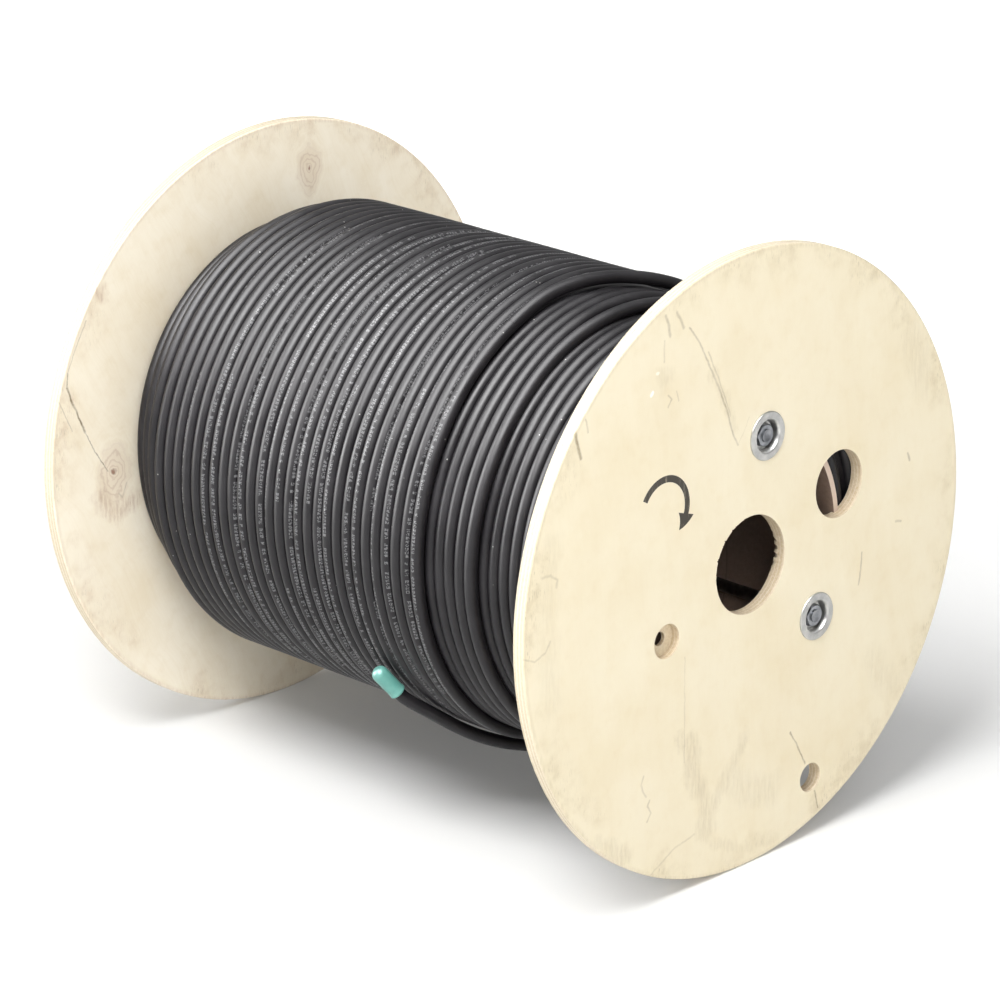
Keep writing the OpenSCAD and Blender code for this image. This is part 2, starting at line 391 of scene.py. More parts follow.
def helix(winding, layer, first, last, extra, wander, segments):
    """Follow the cable from turn to turn; return its place along the axis, its angle and its radius."""
    count = last - first + 1 + extra
    rows = int(count * segments) + 1
    along = np.linspace(0, count, rows)
    whole = np.floor(along)
    part = along - whole
    angle = np.radians(STEP_ANGLE - 360 * along)
    x = winding.turn_x(layer, first) + winding.pitch * whole
    before = smooth((part - 1 + STEP_SHARE) / (2 * STEP_SHARE))
    after = 1 - smooth((part + STEP_SHARE) / (2 * STEP_SHARE))
    x += winding.pitch * np.where((part > 0.5) & (whole < math.ceil(count) - 1), before, 0)
    x -= winding.pitch * np.where((part < 0.5) & (whole > 0), after, 0)
    # Lumps of the layers below move neighbours together; each turn also wanders a little by itself
    lump = np.sin(3 * angle + x / (31 * MM) + layer) + np.sin(5 * angle - x / (17 * MM) + 2 * layer)
    alone = np.sin(2 * math.pi * (1.37 * along + 0.21 * layer)) + np.sin(2 * math.pi * 3.61 * along)
    size = winding.cable.unevenness * wander
    radius = winding.layer_r(layer) + size * (0.35 * lump - 0.7) + winding.cable.loft * looseness(angle)
    return x + size * 0.3 * alone, angle, radius


def around(x, angle, radius):
    """Turn places along and round the axis into points and outward directions."""
    out = np.stack([np.zeros_like(angle), np.cos(angle), np.sin(angle)], axis=1)
    points = out * radius[:, None]
    points[:, 0] = x
    points[:, 2] += AXIS_Z
    return points, out


def tube(points, out, radius, sides, start_u):
    """Sweep a round section along points; give vertices, faces and a length and turn for each corner."""
    ways = np.gradient(points, axis=0)
    ways /= np.linalg.norm(ways, axis=1)[:, None]
    side = np.cross(ways, out)
    side /= np.linalg.norm(side, axis=1)[:, None]
    rise = np.cross(side, ways)
    steps = np.linalg.norm(np.diff(points, axis=0), axis=1)
    lengths = start_u + np.concatenate([[0.0], np.cumsum(steps)])
    # The seam of the section lies at the underside
    turn = np.arange(sides) / sides
    bend = 2 * math.pi * (turn - 0.5)
    ring = rise[:, None, :] * np.cos(bend)[None, :, None] + side[:, None, :] * np.sin(bend)[None, :, None]
    vertices = (points[:, None, :] + radius * ring).reshape(-1, 3)
    rows = len(points)
    row, column = np.meshgrid(np.arange(rows - 1), np.arange(sides), indexing="ij")
    following = (column + 1) % sides
    here = row * sides + column
    beside = row * sides + following
    quads = np.stack([here, beside, beside + sides, here + sides], axis=-1).reshape(-1, 4)
    u = np.stack([lengths[row], lengths[row], lengths[row + 1], lengths[row + 1]], axis=-1).reshape(-1, 4)
    v = np.stack([column, column + 1, column + 1, column], axis=-1).reshape(-1, 4) / sides
    ends = [list(range(sides))[::-1], list(range((rows - 1) * sides, rows * sides))]
    end_u = (lengths[0], lengths[-1])
    return vertices, quads, np.stack([u, v], axis=-1), ends, end_u


def tube_mesh(name, tubes):
    """Join swept tubes into one smooth mesh whose UVs are metres along and turns round the cable."""
    vertices = []
    faces = []
    corners = []
    base = 0
    for points, quads, uv, ends, end_u in tubes:
        vertices.append(points)
        faces += (quads + base).tolist()
        corners.append(uv.reshape(-1, 2))
        for end, u in zip(ends, end_u):
            faces.append([index + base for index in end])
            corners.append(np.tile([u, 0.0], (len(end), 1)))
        base += len(points)
    mesh = bpy.data.meshes.new(name)
    mesh.from_pydata(np.concatenate(vertices).tolist(), [], faces)
    layer = mesh.uv_layers.new(name="along_and_round")
    layer.data.foreach_set("uv", np.concatenate(corners).astype(np.float32).ravel())
    mesh.polygons.foreach_set("use_smooth", [len(face) == 4 for face in faces])
    mesh.update()
    # The flat ends stay out of the smooth shading of the round
    mesh.set_sharp_from_angle(angle=math.radians(60))
    return mesh


def lathe_mesh(name, profile, matrix, segments):
    """Turn a closed profile of (radius, height) round Z and place it."""
    rows = len(profile)
    grid = []
    for step in range(segments):
        turn = 2 * math.pi * step / segments
        grid += [matrix @ Vector((r * math.cos(turn), r * math.sin(turn), h)) for r, h in profile]
    faces = []
    for step in range(segments):
        here, there = step * rows, (step + 1) % segments * rows
        for row in range(rows):
            after = (row + 1) % rows
            faces.append((here + row, there + row, there + after, here + after))
    mesh = bpy.data.meshes.new(name)
    mesh.from_pydata(grid, [], faces)
    shape = bmesh.new()
    shape.from_mesh(mesh)
    bmesh.ops.remove_doubles(shape, verts=shape.verts, dist=0.001 * MM)
    bmesh.ops.recalc_face_normals(shape, faces=shape.faces)
    for face in shape.faces:
        face.smooth = True
    shape.to_mesh(mesh)
    shape.free()
    mesh.set_sharp_from_angle(angle=math.radians(40))
    return mesh


def jacket_material(name, cable, has_legend):
    """Extruded black polyethylene: satin, finely drawn along its length, with a sprayed legend and lint."""
    material, tree, shader, place = new_material(name)
    uv = add(tree, "UVMap", uv_map="along_and_round")
    metres = add(tree, "SeparateXYZ", {0: uv})
    along = add(tree, "Math", {0: metres.outputs[0], 1: 1 / MM}, operation="MULTIPLY")

    # Rubbed patches some 25 mm long
    patches = add(tree, "TexNoise", {"Vector": place, "Scale": 1 / 25, "Detail": 4.0, "Roughness": 0.6})
    rubbed = add(tree, "MapRange", {0: patches, 1: 0.4, 2: 0.72, 3: 0.0, 4: 1.0})

    # Lint every 12 mm or so; real specks of 0.2 mm are drawn at 0.5 mm to show
    specks = add(tree, "TexVoronoi", {"Vector": place, "Scale": 1 / 12})
    near = add(tree, "MapRange", {0: specks.outputs["Distance"], 1: 0.022, 2: 0.042, 3: 0.8, 4: 0.0})
    layers = [(rubbed, cable.jacket_worn), (near, cable.lint)]

    if has_legend:
        # Ticks in cells of 2.3 mm, each cut into strokes of 0.55 mm, that spell nothing
        cell = add(tree, "Math", {0: along, 1: 2.3}, operation="DIVIDE")
        inside = add(tree, "Math", {0: cell}, operation="FRACT")
        body = add(tree, "Math", {0: inside, 1: 0.74}, operation="LESS_THAN")
        number = add(tree, "Math", {0: cell}, operation="FLOOR")
        chance = add(tree, "TexWhiteNoise", {"W": number}, noise_dimensions="1D")
        filled = add(tree, "Math", {0: chance.outputs["Value"], 1: 0.18}, operation="GREATER_THAN")
        # The line of print turns slowly round the cable; on the first turns it lies underneath
        drift = add(tree, "TexNoise", {"W": along, "Scale": 1 / 1400, "Detail": 2.0}, noise_dimensions="1D")
        centre = add(tree, "MapRange", {0: drift, 1: 0.3, 2: 0.7, 3: 0.35, 4: 0.68})
        under = add(tree, "MapRange", {0: along, 1: 14000.0, 2: 17500.0, 3: 0.45, 4: 0.0})
        centre = add(tree, "Math", {0: centre, 1: under}, operation="SUBTRACT")
        offset = add(tree, "Math", {0: metres.outputs[1], 1: centre}, operation="SUBTRACT")
        girth = math.pi * cable.jacket_d / MM
        height = add(tree, "Math", {0: offset, 1: girth}, operation="MULTIPLY")
        away = add(tree, "Math", {0: height}, operation="ABSOLUTE")
        line = add(tree, "Math", {0: away, 1: 1.15}, operation="LESS_THAN")
        grid = []
        for distance, size in ((along, 0.55), (height, 0.6)):
            count = add(tree, "Math", {0: distance, 1: size}, operation="DIVIDE")
            grid.append(add(tree, "Math", {0: count}, operation="FLOOR"))
        spot = add(tree, "CombineXYZ", {0: grid[0], 1: grid[1]})
        strokes = add(tree, "TexWhiteNoise", {"Vector": spot}, noise_dimensions="2D")
        drawn = add(tree, "Math", {0: strokes.outputs["Value"], 1: 0.4}, operation="GREATER_THAN")
        # It pauses between lengths of 0.4 m
        length = add(tree, "Math", {0: along, 1: 400.0}, operation="DIVIDE")
        length = add(tree, "Math", {0: length}, operation="FRACT")
        printed = add(tree, "Math", {0: length, 1: 0.86}, operation="LESS_THAN")
        ink = body
        ink_share = 0.38
        for mask in (filled, line, drawn, printed, ink_share):
            ink = add(tree, "Math", {0: ink, 1: mask}, operation="MULTIPLY")
        layers.append((ink, cable.legend))
    colour = cable.jacket
    for share, tint in layers:
        colour = add(tree, "Mix", {0: share, 6: colour, 7: tint}, data_type="RGBA").outputs[2]

    # Drawing lines from the die run along the jacket, with a dull grain of 0.8 mm over them
    lines = add(tree, "CombineXYZ", {
        0: add(tree, "Math", {0: along, 1: 1 / 40}, operation="MULTIPLY"),
        1: add(tree, "Math", {0: metres.outputs[1], 1: 26.0}, operation="MULTIPLY")})
    drawn_lines = add(tree, "TexNoise", {"Vector": lines, "Scale": 1.0, "Detail": 2.0})
    grain = add(tree, "TexNoise", {"Vector": place, "Scale": 1 / 0.8, "Detail": 2.0})
    relief = add(tree, "Math", {0: drawn_lines, 1: grain}, operation="ADD")
    bump = add(tree, "Bump", {"Strength": 0.12, "Distance": 0.15 * MM, "Height": relief})
    gloss = add(tree, "MapRange", {0: patches, 1: 0.3, 2: 0.7, 3: 0.38, 4: 0.5})
    feed(tree, shader, {
        "Base Color": colour, "Normal": bump, "Roughness": gloss, "IOR": 1.51, "Specular IOR Level": 0.3})
    return material


def vinyl_material(cable):
    """Dip-moulded vinyl: glossy, soft and slightly clouded, paler where the dip is thin."""
    material, tree, shader, place = new_material("dipped_vinyl")
    clouds = add(tree, "TexNoise", {"Vector": place, "Scale": 1 / 6, "Detail": 3.0})
    share = add(tree, "MapRange", {0: clouds, 1: 0.35, 2: 0.7, 3: 0.0, 4: 1.0})
    colour = add(tree, "Mix", {0: share, 6: cable.cap, 7: cable.cap_thin}, data_type="RGBA").outputs[2]
    # The skin of a dip runs in shallow waves some 3 mm long
    waves = add(tree, "TexNoise", {"Vector": place, "Scale": 1 / 3, "Detail": 2.0})
    bump = add(tree, "Bump", {"Strength": 0.12, "Distance": 0.2 * MM, "Height": waves})
    gloss = add(tree, "MapRange", {0: clouds, 1: 0.3, 2: 0.7, 3: 0.3, 4: 0.44})
    feed(tree, shader, {"Base Color": colour, "Normal": bump, "Roughness": gloss, "IOR": 1.53})
    return material


def tail_path(cable):
    """Smooth curve through the route of the free end, then straight into the cap."""
    route = np.array(TAIL_ROUTE + (CAP_AIM,), float) * MM - (0, 0, AXIS_Z)
    reach = np.hypot(route[:, 1], route[:, 2])
    # The loft fades toward the near flange, where the layers under the free end are missing
    share = 1 - TAIL_FADE * smooth((route[:, 0] / MM - TAIL_FADE_AT) / TAIL_FADE_OVER)
    lifted = 1 + cable.loft * share * looseness(np.arctan2(route[:, 2], route[:, 1])) / reach
    route[:, 1:] *= lifted[:, None]
    route += (0, 0, AXIS_Z)
    aim = route[-1]
    route = route[:-1]
    cap_way = (aim - route[-1]) / np.linalg.norm(aim - route[-1])
    reach = np.linalg.norm(np.diff(route, axis=0), axis=1)
    leave = math.radians(LEAVE_ANGLE)
    slopes = np.empty_like(route)
    slopes[0] = np.array((0, math.sin(leave), -math.cos(leave))) * reach[0]
    slopes[1:-1] = (route[2:] - route[:-2]) / 2
    slopes[-1] = cap_way * reach[-1]
    points = []
    for at in range(len(route) - 1):
        for step in range(TAIL_STEPS):
            t = step / TAIL_STEPS
            points.append(
                route[at] * (1 - t) ** 2 * (1 + 2 * t) + slopes[at] * t * (1 - t) ** 2
                + route[at + 1] * t * t * (3 - 2 * t) - slopes[at + 1] * t * t * (1 - t))
    straight = 6
    for step in range(straight + 1):
        points.append(route[-1] + cap_way * CAP_INSERT * MM * step / straight)
    return np.array(points), route[-1], cap_way


class REEL_OT_free_end(bpy.types.Operator):
    """Lay the free end of the cable on the winding and put its cap on."""

    bl_idname = "reel.free_end"
    bl_label = "Free end and cap"

    def execute(self, context):
        cable = context.scene.reel_cable
        points, cap_at, cap_way = tail_path(cable)
        axis = points * (0, 1, 1) - (0, 0, AXIS_Z)
        out = axis / np.linalg.norm(axis, axis=1)[:, None]
        swept = tube(points, out, cable.jacket_d / 2, cable.round_sides, LEGEND_END)
        plain = jacket_material("polyethylene_jacket_plain", cable, False)
        tail = new_piece("free_end", tube_mesh("free_end", [swept]), plain)
        finish_piece(tail, ["cable_tail"])

        # Profile of the cap in millimetres: rolled lip at the mouth, slight draft, round closed end
        round_r = 4.7
        outside = 5.35
        cap_length = 22.5
        dome_steps = 16
        profile = [(0, 20.2), (4.45, 20.2), (4.45, 0.5), (4.8, 0.05), (5.2, 0), (5.55, 0.35), (5.6, 0.9),
                   (5.55, 1.5), (5.35, 2.1), (5.25, 3.0), (5.3, 9.0), (outside, 15.0)]
        for step in range(dome_steps + 1):
            bend = math.radians(90 * step / dome_steps)
            reach = outside - round_r + round_r * math.cos(bend)
            profile.append((reach, cap_length - round_r + round_r * math.sin(bend)))
        profile.append((0, cap_length))
        turn = Vector((0, 0, 1)).rotation_difference(Vector(cap_way)).to_matrix().to_4x4()
        matrix = Matrix.Translation(Vector(cap_at)) @ turn @ Matrix.Scale(MM, 4)
        mesh = lathe_mesh("end_cap_vinyl", profile, matrix, segments=48)
        cap = new_piece("end_cap_vinyl", mesh, vinyl_material(cable))
        finish_piece(cap, ["end_cap"])

        return {"FINISHED"}


class REEL_OT_winding(bpy.types.Operator):
    """Wind the visible turns of the cable round a hidden core."""

    bl_idname = "reel.winding"
    bl_label = "Wound cable"

    def execute(self, context):
        cable = context.scene.reel_cable
        winding = Winding(cable)
        top = winding.top
        sides = cable.round_sides
        segments = cable.turn_segments
        radius = cable.jacket_d / 2
        printed = jacket_material("polyethylene_jacket_printed", cable, True)
        plain = jacket_material("polyethylene_jacket_band", cable, False)

        # Top layer, up to the part turn that becomes the free end
        extra = (STEP_ANGLE - LEAVE_ANGLE) / 360
        first = winding.first_turn(top)
        last = winding.last_turn(top)
        x, angle, r = helix(winding, top, first, last, extra, 1.0, segments)
        start = tail_path(cable)[0][0]
        joined = smooth((np.arange(len(x)) - len(x) + JOIN_ROWS) / (JOIN_ROWS - 1))
        x = x + (start[0] - x) * joined
        r = r + (math.hypot(start[1], start[2] - AXIS_Z) - r) * joined
        points, out = around(x, angle, r)
        # The legend pauses where the free end leaves, so the lengths are counted back from there
        length = np.linalg.norm(np.diff(points, axis=0), axis=1).sum()
        mesh = tube_mesh("top_layer", [tube(points, out, radius, sides, LEGEND_END - length)])
        layer = new_piece("top_layer", mesh, printed)
        finish_piece(layer, ["cable_winding"])

        # Lower layers where they show: two bands beside the near flange, the shoulder and the ends
        tubes = []
        hidden_sides = 10
        for number in range(top):
            begin = winding.first_turn(number)
            end = winding.last_turn(number)
            runs = {
                (begin, max(begin, winding.first_turn(number + 1))),
                (winding.last_turn(number + 1), end),
            }
            seen = number >= top - 3
            loose = BAND_WANDER if number >= top - 2 else 1.0
            detail = segments if seen else segments * 3 // 4
            round_sides = sides if seen else hidden_sides
            for first, last in sorted(runs):
                x, angle, r = helix(winding, number, first, last, 0.0, loose, detail)
                if first == begin:
                    # The shoulder is fuller where the turns are loose
                    r = r + 0.5 * winding.rise * looseness(angle)
                if number == top - 1 and last == end:
                    # The end of this band veers to the near flange over the top and down the back
                    turned = STEP_ANGLE - 360 * (last - first) - np.degrees(angle)
                    veer = smooth((turned - VEER_AT) / VEER_OVER)
                    end_x = winding.turn_x(top - 2, winding.last_turn(top - 2))
                    x = x + (end_x - winding.turn_x(number, last)) * veer
                    r = r - winding.rise * smooth((turned - SINK_AT) / SINK_OVER)
                if number == top - 2 and last == end:
                    # The last turn of the lower band stops where that end comes down beside it
                    keep = int(len(x) - detail * STOP_SHARE)
                    x, angle, r = x[:keep], angle[:keep], r[:keep]
                points, out = around(x, angle, r)
                tubes.append(tube(points, out, radius, round_sides, LAYER_LENGTH * number))
        lower = new_piece("lower_layers", tube_mesh("lower_layers", tubes), plain)
        finish_piece(lower)

        # Hidden core that closes the gaps between the turns
        low_side = []
        high_side = []
        bore = winding.layer_r(0) - radius + 0.4 * MM
        below = bore
        for number in range(top + 1):
            above = winding.layer_r(number) + 0.1 * cable.jacket_d
            low_x = winding.turn_x(number, winding.first_turn(number))
            high_x = winding.turn_x(number, winding.last_turn(number))
            low_side += [(below, low_x), (above, low_x)]
            high_side += [(below, high_x), (above, high_x)]
            below = above
        matrix = Matrix.Translation((0, 0, AXIS_Z)) @ Matrix.Rotation(math.pi / 2, 4, "Y")
        mesh = lathe_mesh("wound_core", low_side + high_side[::-1], matrix, segments=96)
        mesh.uv_layers.new(name="along_and_round")
        core = new_piece("wound_core", mesh, plain)
        finish_piece(core)
        return {"FINISHED"}


# Wood


def rounded_copy(node, width, segments):
    """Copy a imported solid, clean its faces and round its sharp edges."""
    shape = bmesh.new()
    shape.from_mesh(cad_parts[node].data)
    bmesh.ops.remove_doubles(shape, verts=shape.verts, dist=0.002 * MM)
    bmesh.ops.dissolve_limit(shape, angle_limit=math.radians(0.8), verts=shape.verts, edges=shape.edges)
    least = math.radians(30)
    sharp = [edge for edge in shape.edges if edge.is_manifold and edge.calc_face_angle(0) > least]
    bmesh.ops.bevel(
        shape, geom=sharp, offset=width, offset_type="OFFSET", segments=segments, profile=0.5,
        affect="EDGES", clamp_overlap=True)
    bmesh.ops.recalc_face_normals(shape, faces=shape.faces)
    for face in shape.faces:
        face.smooth = True
    mesh = bpy.data.meshes.new(node + "_rounded")
    shape.to_mesh(mesh)
    shape.free()
    mesh.set_sharp_from_angle(angle=math.radians(50))
    return mesh


def keep_flats(obj):
    """Let the large faces rule the shading, so that flats stay flat beside rounded edges."""
    modifier = obj.modifiers.new("flats", "WEIGHTED_NORMAL")
    modifier.mode = "FACE_AREA"
    modifier.keep_sharp = True


def torn_edge_cutter(name, reach, face_x, depth, hole_r):
    """Make a plug in the arbor hole that tears its edge: widest at the face, gone at the given depth."""
    sides = 360
    overshoot = 1 * MM
    inset = 0.4 * MM
    sections = (
        (face_x - math.copysign(overshoot, depth), reach),
        (face_x, reach),
        (face_x + depth, lambda degrees: hole_r - inset),
    )
    vertices = []
    for x, edge in sections:
        for degrees in range(sides):
            turn = math.radians(degrees)
            vertices.append((x, edge(degrees) * math.cos(turn), AXIS_Z + edge(degrees) * math.sin(turn)))
    faces = [list(range(sides)), list(range(2 * sides, 3 * sides))]
    for base in (0, sides):
        for side in range(sides):
            after = (side + 1) % sides
            faces.append((base + side, base + after, base + sides + after, base + sides + side))
    mesh = bpy.data.meshes.new(name)
    mesh.from_pydata(vertices, [], faces)
    shape = bmesh.new()
    shape.from_mesh(mesh)
    bmesh.ops.recalc_face_normals(shape, faces=shape.faces)
    shape.to_mesh(mesh)
    shape.free()
    obj = bpy.data.objects.new(name, mesh)
    bpy.context.scene.collection.objects.link(obj)
    return obj


def cut(obj, cutters):
    """Cut with each cutter for good and remove the cutters."""
    for cutter in cutters:
        modifier = obj.modifiers.new("cut", "BOOLEAN")
        modifier.operation = "DIFFERENCE"
        modifier.solver = "EXACT"
        modifier.object = cutter
    bpy.context.view_layer.update()
    graph = bpy.context.evaluated_depsgraph_get()
    mesh = bpy.data.meshes.new_from_object(obj.evaluated_get(graph))
    obj.modifiers.clear()
    obj.data = mesh
    for cutter in cutters:
        bpy.data.objects.remove(cutter)
    mesh.set_sharp_from_angle(angle=math.radians(50))


def lines_mask(tree, place, marks, softness):
    """Draw lines on a face: their strength on a line, 0 away from it."""
    mask = 0.0
    batch = 8
    strokes = [
        (ends, width, strength) for points, width, strength in marks for ends in zip(points, points[1:])]
    for count, (((y1, z1), (y2, z2)), width, strength) in enumerate(strokes):
        if count % batch == batch - 1:
            # Nothing is moved: the next strokes only wait for these, as few values are held at a time
            place = add(tree, "VectorMath", {0: mask, 1: (0, 0, 0), 2: place}, operation="MULTIPLY_ADD")
        way = Vector((0, y2 - y1, z2 - z1))
        offset = add(tree, "VectorMath", {0: place, 1: (0, y1, z1)}, operation="SUBTRACT")
        share = add(tree, "VectorMath", {0: offset, 1: way / way.length_squared}, operation="DOT_PRODUCT")
        held = add(tree, "Math", {0: share.outputs["Value"], 1: 0.0}, operation="ADD", use_clamp=True)
        foot = add(tree, "VectorMath", {0: way, "Scale": held}, operation="SCALE")
        away = add(tree, "VectorMath", {0: offset, 1: foot}, operation="DISTANCE")
        drawn = add(tree, "MapRange", {
            0: away.outputs["Value"], 1: width / 2, 2: (0.5 + softness) * width, 3: strength, 4: 0.0})
        mask = add(tree, "Math", {0: mask, 1: drawn}, operation="MAXIMUM")
    return mask


def plywood_material(
        name, wood, outer_sign, pale, dark, grain, lines, smears, smear_colour, knots=(), spots=()):
    """Birch plywood: rotary-cut veneer with faint grain, layered sawn edges, scuffs and rubbed-in dirt.

    Its outer face looks along X with the given sign; the grain is an angle and a strength.
    """
    grain_angle, grain_share = grain
    material, tree, shader, place = new_material(name)
    # Millimetres from the axis, flat on the face
    flat = add(
        tree, "VectorMath", {0: place, 1: (0, 1, 1), 2: (0, 0, -AXIS_Z / MM)}, operation="MULTIPLY_ADD")
    facing = add(tree, "SeparateXYZ", {0: add(tree, "NewGeometry").outputs["True Normal"]})
    steep = add(tree, "Math", {0: facing.outputs[0]}, operation="ABSOLUTE")
    is_edge = add(tree, "MapRange", {0: steep, 1: 0.35, 2: 0.75, 3: 1.0, 4: 0.0})
    shown_side = add(tree, "Math", {0: facing.outputs[0], 1: 0.5}, operation="GREATER_THAN")
    radius = add(tree, "VectorMath", {0: flat}, operation="LENGTH").outputs["Value"]
    rim_r = FLANGE_R / MM

    # Face grain: vessels 1.2 mm wide and 70 mm long over broad bands, along the angle of the veneer
    lay = math.radians(90 - grain_angle)
    turned = add(tree, "VectorRotate", {"Vector": flat, "Angle": lay}, rotation_type="X_AXIS")
    waver = add(tree, "TexNoise", {"Vector": turned, "Scale": 1 / 55, "Detail": 2.0})
    shift = add(tree, "VectorMath", {0: waver.outputs["Color"], "Scale": 22.0}, operation="SCALE")
    wavy = add(tree, "VectorMath", {0: turned, 1: shift}, operation="ADD")
    fine_place = add(tree, "VectorMath", {0: wavy, 1: (0, 1 / 1.2, 1 / 70)}, operation="MULTIPLY")
    fine = add(tree, "TexNoise", {"Vector": fine_place, "Scale": 1.0, "Detail": 4.0, "Roughness": 0.6})
    band_place = add(tree, "VectorMath", {0: wavy, 1: (0, 1 / 17, 1 / 90)}, operation="MULTIPLY")
    bands = add(tree, "TexNoise", {"Vector": band_place, "Scale": 1.0, "Detail": 4.0, "Roughness": 0.6})
    # Clouds some 60 mm wide and blotches some 12 mm wide
    clouds = add(tree, "TexNoise", {"Vector": flat, "Scale": 1 / 60, "Detail": 4.0, "Roughness": 0.55})
    blotches = add(tree, "TexNoise", {"Vector": flat, "Scale": 1 / 12, "Detail": 5.0, "Roughness": 0.6})
    streak = add(tree, "MapRange", {0: fine, 1: 0.45, 2: 0.75, 3: 0.0, 4: 0.5 * grain_share})
    broad = add(tree, "MapRange", {0: bands, 1: 0.4, 2: 0.72, 3: 0.0, 4: grain_share})
    cloud = add(tree, "MapRange", {0: clouds, 1: 0.38, 2: 0.72, 3: 0.0, 4: 0.7})
    blotch = add(tree, "MapRange", {0: blotches, 1: 0.5, 2: 0.75, 3: 0.0, 4: 0.4})
    tone = streak
    for part in (broad, cloud, blotch):
        tone = add(tree, "Math", {0: tone, 1: part}, operation="ADD", use_clamp=True)
    colour = add(tree, "Mix", {0: tone, 6: pale, 7: dark}, data_type="RGBA").outputs[2]

    # Knots: distance from the nearest one, as a share of its size
    if knots:
        knot = None
        for y, z, half_width, half_length in knots:
            offset = add(tree, "VectorMath", {0: flat, 1: (0, y, z)}, operation="SUBTRACT")
            shares = (0, 1 / half_width, 1 / half_length)
            shaped = add(tree, "VectorMath", {0: offset, 1: shares}, operation="MULTIPLY")
            distance = add(tree, "VectorMath", {0: shaped}, operation="LENGTH").outputs["Value"]
            if knot is not None:
                distance = add(tree, "Math", {0: knot, 1: distance}, operation="MINIMUM").outputs[0]
            knot = distance
        wobble = add(tree, "TexNoise", {"Vector": flat, "Scale": 1 / 9, "Detail": 3.0})
        uneven = add(tree, "Math", {0: wobble, 1: 0.8, 2: knot}, operation="MULTIPLY_ADD")
        wave = add(tree, "Math", {0: uneven, 1: 24.0}, operation="MULTIPLY")
        wave = add(tree, "Math", {0: wave}, operation="SINE")
        ring = add(tree, "MapRange", {0: wave, 1: 0.0, 2: 1.0, 3: 0.24, 4: 0.5})
        inside = add(tree, "MapRange", {0: uneven, 1: 1.1, 2: 1.6, 3: 1.0, 4: 0.0})
        ring = add(tree, "Math", {0: ring, 1: inside}, operation="MULTIPLY")
        ring = add(tree, "Math", {0: ring, 1: shown_side}, operation="MULTIPLY")
        # Pale swirl of grain round a knot, and its small dark heart
        halo = add(tree, "MapRange", {0: knot, 1: 0.9, 2: 2.4, 3: 0.4, 4: 0.0})
        swirl = add(tree, "MapRange", {0: wave, 1: -0.6, 2: 0.8, 3: 0.0, 4: 1.0})
        swirl = add(tree, "Math", {0: swirl, 1: halo}, operation="MULTIPLY")
        heart = add(tree, "MapRange", {0: uneven, 1: 0.4, 2: 0.5, 3: 0.8, 4: 0.0})
        heart = add(tree, "Math", {0: heart, 1: shown_side}, operation="MULTIPLY")
        for share, tint in ((swirl, pale), (ring, wood.knot), (heart, wood.knot_heart)):
            colour = add(tree, "Mix", {0: share, 6: colour, 7: tint}, data_type="RGBA").outputs[2]

    # Scratches and cracks waver by half a millimetre and fade in places
    fade = add(tree, "TexNoise", {"Vector": flat, "Scale": 1 / 8, "Detail": 5.0, "Roughness": 0.65})
    jitter = add(tree, "TexNoise", {"Vector": flat, "Scale": 1 / 7, "Detail": 4.0, "Roughness": 0.6})
    shaken = add(
        tree, "VectorMath", {0: jitter.outputs["Color"], 1: (0, 2.4, 2.4), 2: flat},
        operation="MULTIPLY_ADD")
    faint = add(tree, "MapRange", {0: fade, 1: 0.36, 2: 0.62, 3: 0.5, 4: 1.0})
    line = add(tree, "Math", {0: lines_mask(tree, shaken, lines, 1.5), 1: faint}, operation="MULTIPLY")
    # Smears have frayed outlines and break up into streaks 2 mm wide and 14 mm long
    streak_place = add(tree, "VectorMath", {0: shaken, 1: (0, 1 / 2, 1 / 14)}, operation="MULTIPLY")
    streaks = add(
        tree, "TexNoise", {"Vector": streak_place, "Scale": 1.0, "Detail": 4.0, "Roughness": 0.65})
    broken = add(tree, "MapRange", {0: streaks, 1: 0.38, 2: 0.68, 3: 0.2, 4: 1.0})
    centred = add(
        tree, "VectorMath", {0: blotches.outputs["Color"], 1: (0.5, 0.5, 0.5)}, operation="SUBTRACT")
    frayed = add(tree, "VectorMath", {0: centred, 1: (0, 18, 18), 2: flat}, operation="MULTIPLY_ADD")
    smear = add(tree, "Math", {0: lines_mask(tree, frayed, smears, 1.4), 1: broken}, operation="MULTIPLY")
    # Torn fibres and handling dirt toward the rim, in patches
    fibre_place = add(tree, "VectorMath", {0: shaken, 1: (0, 1 / 0.9, 1 / 6)}, operation="MULTIPLY")
    fibres = add(tree, "TexNoise", {"Vector": fibre_place, "Scale": 1.0, "Detail": 3.0, "Roughness": 0.6})
    torn = add(tree, "MapRange", {0: fibres, 1: 0.58, 2: 0.7, 3: 0.0, 4: 0.5})
    rim_zone = add(tree, "MapRange", {0: radius, 1: rim_r - 26, 2: rim_r - 3, 3: 0.0, 4: 1.0})
    patchy = add(tree, "MapRange", {0: clouds, 1: 0.46, 2: 0.6, 3: 0.0, 4: 1.0})
    rim_zone = add(tree, "Math", {0: rim_zone, 1: patchy}, operation="MULTIPLY")
    torn = add(tree, "Math", {0: torn, 1: rim_zone}, operation="MULTIPLY")
    handled = add(tree, "MapRange", {0: blotches, 1: 0.42, 2: 0.68, 3: 0.0, 4: 0.45})
    handled = add(tree, "Math", {0: handled, 1: rim_zone}, operation="MULTIPLY")
